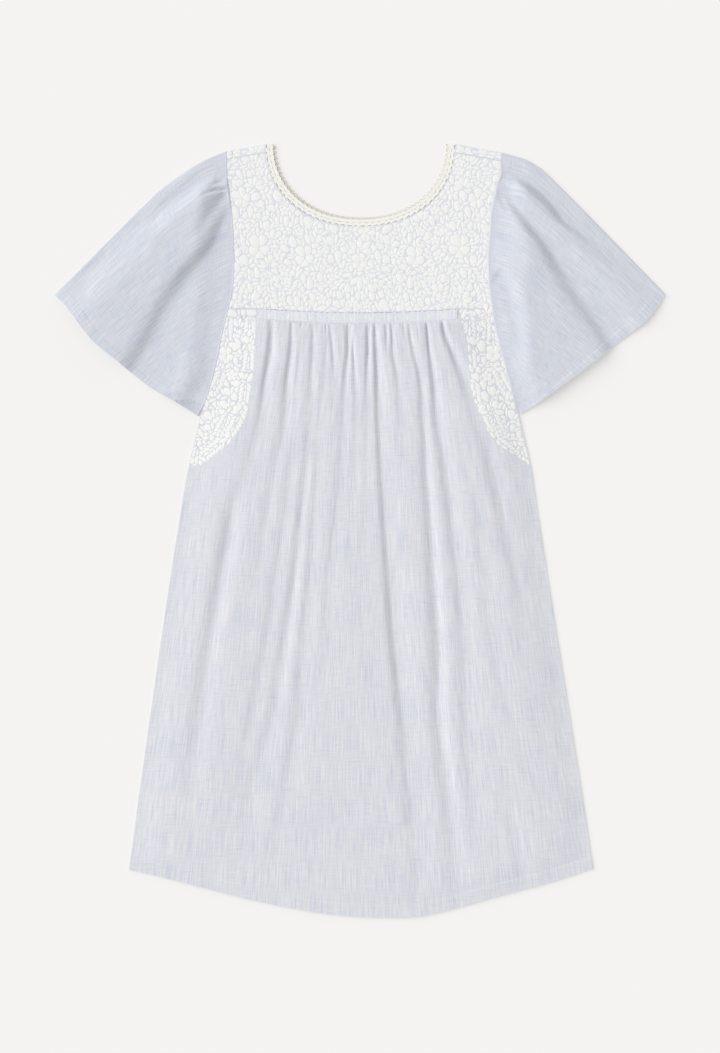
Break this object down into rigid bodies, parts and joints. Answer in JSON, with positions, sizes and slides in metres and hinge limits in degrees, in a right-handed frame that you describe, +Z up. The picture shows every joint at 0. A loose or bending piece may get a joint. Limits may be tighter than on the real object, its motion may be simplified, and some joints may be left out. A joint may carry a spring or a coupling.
{
  "type": "mini dress",
  "caption": "Mini dress laid flat, with an embroidered round-neck yoke, crochet neck edging, gathered A-line skirt and short flutter sleeves.",
  "frame": {"origin": "middle of the outline, on the surface that the dress lies on", "axes": "+Z up from the surface, +Y from the hem towards the neck, +X to the right in the picture"},
  "size_m": [0.7088, 0.8978, 0.0093],
  "materials": {
    "slub_cotton": "matt pale blue slub cotton",
    "embroidered_cotton": "pale blue cotton covered with off-white satin-stitch embroidery",
    "crochet_cotton": "matt off-white crochet"
  },
  "bodies": {
    "root": {"front_yoke": "embroidered_cotton", "back_yoke": "embroidered_cotton", "gather_band": "slub_cotton", "front_skirt": "slub_cotton", "back_skirt": "slub_cotton", "left_sleeve": "slub_cotton", "right_sleeve": "slub_cotton", "neck_edging": "crochet_cotton"}
  },
  "joints": []
}
